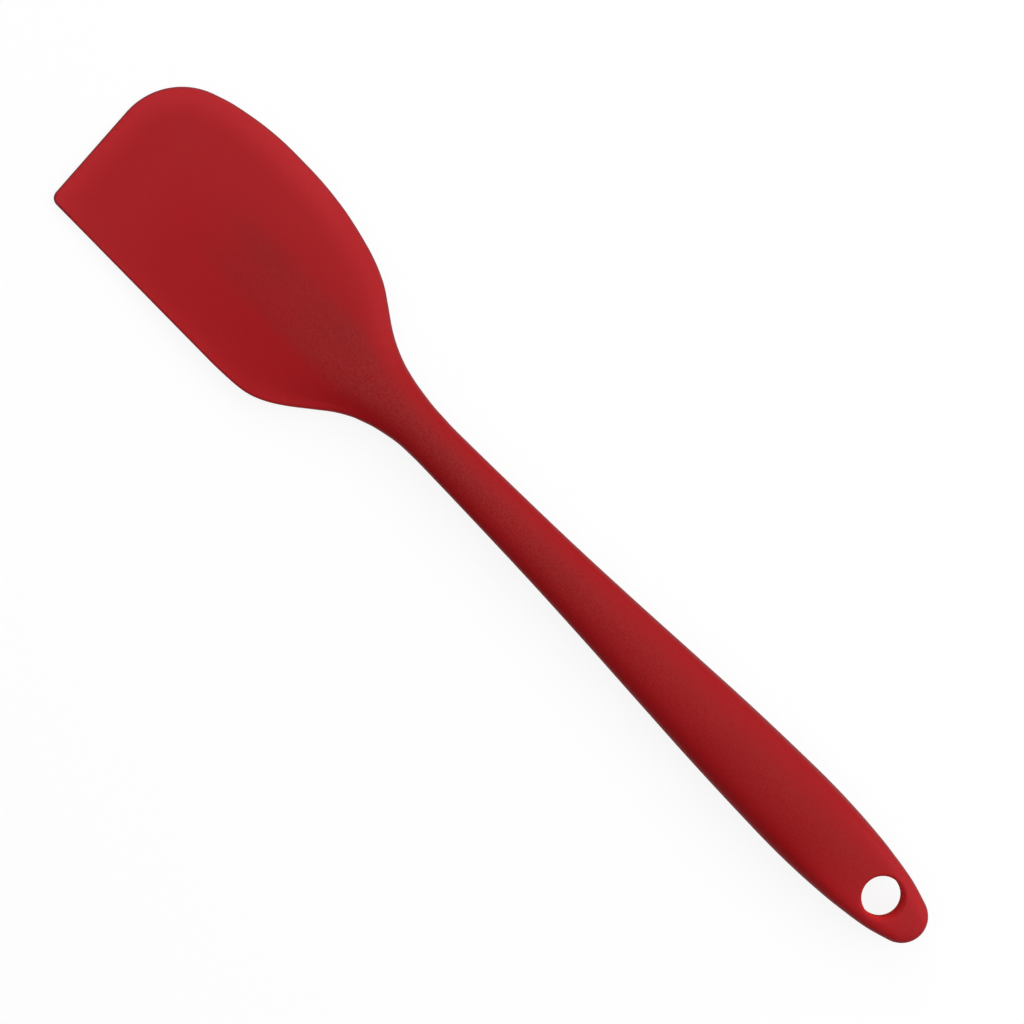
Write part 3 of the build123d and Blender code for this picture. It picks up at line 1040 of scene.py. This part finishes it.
class SPATULA_OT_parting_line(Operator):
    """Lay the fine parting line round the edge, where the halves of the mould meet"""

    bl_idname = "spatula.parting_line"
    bl_label = "Parting line"
    bead_sides = 6

    def execute(self, context):
        sizes = context.scene.spatula_sizes
        rule = SkinRule(sizes)
        loop = rule.outline()
        loop = loop + loop_normals(loop) * sizes.seam_radius / 2
        heights = rule.mid_height(loop[:, 0])
        count = len(loop)
        mesh = bpy.data.meshes.new("seam_path")
        mesh.from_pydata([(x, y, z) for (x, y), z in zip(loop, heights)], closed_edges(0, count), [])
        along, across = loop.T
        oval = np.clip(rule.read(4, along), 0, 1)
        # The bead takes the rim's painted light, painted shade and painted sheen as well
        store(mesh, {"depth": oval, **rule.marks(along, across, np.zeros(count))})
        path = bpy.data.objects.new("seam_path", mesh)
        context.scene.collection.objects.link(path)
        seam_mesh = run_tree(path, seam_tree(), {
            "Bead radius": sizes.seam_radius, "Sides": self.bead_sides,
            "Finish": bpy.data.materials["silicone_matte_red"]})
        bpy.data.objects.remove(path)
        keep_mesh("parting_line", seam_mesh)
        return {"FINISHED"}


class SPATULA_OT_inner_finishes(Operator):
    """Finish the steel spine and the nylon core that the skin hides"""

    bl_idname = "spatula.inner_finishes"
    bl_label = "Inner finishes"

    def execute(self, context):
        finishes = context.scene.spatula_finishes
        inner = {"steel_spine": steel_material(finishes), "grip_core": nylon_material(finishes)}
        for node, material in inner.items():
            slots = frame["nodes"][node].data.materials
            slots.clear()
            slots.append(material)
        return {"FINISHED"}


class SPATULA_OT_studio(Operator):
    """Set up the pale floor, the soft light and the camera over the spatula"""

    bl_idname = "spatula.studio"
    bl_label = "Studio"
    floor_size = 60.0

    # Grey of the floor where it lights the spatula, and where it is seen
    lighting_grey = (0.35, 0.35, 0.35)
    seen_grey = (0.95, 0.95, 0.95)

    def execute(self, context):
        studio = context.scene.spatula_studio
        scene = context.scene
        scene.view_settings.view_transform = "Standard"
        self.floor(studio)
        self.lamps(scene, studio)
        self.world(scene, studio)
        self.camera(scene, studio)
        return {"FINISHED"}

    def floor(self, studio):
        """A floor that is white to the eye and in reflections, and sends back less light than that."""
        bpy.ops.mesh.primitive_plane_add(size=self.floor_size)
        floor = bpy.context.object
        floor.name = "floor"
        material, tree, shader = new_material("white_floor")
        seen = seen_directly(tree)
        tree.feed(shader.inputs["Base Color"], tint(tree, seen, self.lighting_grey, self.seen_grey))
        shader.inputs["Roughness"].default_value = 1.0
        shader.inputs["Specular IOR Level"].default_value = 0.0
        paper = tree.add("ShaderNodeEmission", values={"Color": (1, 1, 1, 1), "Strength": 1.0})
        end = next(node for node in tree.nodes if node.type == "OUTPUT_MATERIAL")
        mixed = tree.add("ShaderNodeMixShader", values={"Fac": seen * studio.paper_share})
        tree.feed(mixed.inputs[1], shader.outputs[0])
        tree.feed(mixed.inputs[2], paper.outputs[0])
        tree.feed(end.inputs["Surface"], mixed.outputs[0])
        floor.data.materials.append(material)

    def lamps(self, scene, studio):
        """Square soft boxes that face the middle of the spatula: name, power, size and place."""
        boxes = (
            ("overhead_box", studio.overhead_power, 1.1, (0.0, 0.0, 1.1)),
            ("tail_side_box", studio.tail_side_power, 0.7, (0.60, 0.61, 0.60)),
            ("middle_box", studio.middle_power, 0.7, (0.0, 0.86, 0.60)),
            ("tip_side_box", studio.tip_side_power, 0.7, (-0.61, 0.60, 0.60)),
        )
        for name, watts, size, place in boxes:
            light = bpy.data.lights.new(name, "AREA")
            light.energy = watts
            light.size = size
            lamp = bpy.data.objects.new(name, light)
            lamp.location = place
            lamp.rotation_euler = (-Vector(place)).to_track_quat("-Z", "Y").to_euler()
            scene.collection.objects.link(lamp)

    def world(self, scene, studio):
        """Air that gives a little light from all sides and looks as pale as the far floor."""
        world = bpy.data.worlds.new("studio_air")
        world.use_nodes = True
        tree = Tree(world.node_tree)
        background = world.node_tree.nodes["Background"]
        background.inputs["Color"].default_value = (1, 1, 1, 1)
        pale = studio.air_strength - studio.fill_strength
        tree.feed(background.inputs["Strength"], seen_directly(tree) * pale + studio.fill_strength)
        scene.world = world

    def camera(self, scene, studio):
        camera = bpy.data.cameras.new("camera")
        camera.sensor_fit = "HORIZONTAL"
        camera.angle = studio.picture_angle
        holder = bpy.data.objects.new("camera", camera)
        holder.location = studio.camera_place
        holder.rotation_euler = studio.camera_turn
        scene.collection.objects.link(holder)
        scene.camera = holder


class SPATULA_PT_panel(Panel):
    """Lists the spatula's operators, sizes and colours"""

    bl_idname = "SPATULA_PT_panel"
    bl_label = "Silicone spatula"
    bl_space_type = "VIEW_3D"
    bl_region_type = "UI"
    bl_category = "Spatula"

    def draw(self, context):
        layout = self.layout
        for operator in OPERATORS:
            layout.operator(operator.bl_idname)
        scene = context.scene
        for group in (scene.spatula_sizes, scene.spatula_finishes, scene.spatula_studio):
            box = layout.box()
            for name in group.bl_rna.properties.keys():
                if name not in ("rna_type", "name"):
                    box.prop(group, name)


OPERATORS = (SPATULA_OT_skin, SPATULA_OT_parting_line, SPATULA_OT_inner_finishes, SPATULA_OT_studio)
CLASSES = (SpatulaSizes, SpatulaFinishes, SpatulaStudio, *OPERATORS, SPATULA_PT_panel)


def register():
    for cls in CLASSES:
        bpy.utils.register_class(cls)
    bpy.types.Scene.spatula_sizes = PointerProperty(type=SpatulaSizes)
    bpy.types.Scene.spatula_finishes = PointerProperty(type=SpatulaFinishes)
    bpy.types.Scene.spatula_studio = PointerProperty(type=SpatulaStudio)


def unregister():
    del bpy.types.Scene.spatula_studio
    del bpy.types.Scene.spatula_finishes
    del bpy.types.Scene.spatula_sizes
    for cls in reversed(CLASSES):
        bpy.utils.unregister_class(cls)


def main():
    register()
    bpy.ops.spatula.skin()
    bpy.ops.spatula.parting_line()
    bpy.ops.spatula.inner_finishes()
    bpy.ops.spatula.studio()


if __name__ == "__main__":
    main()
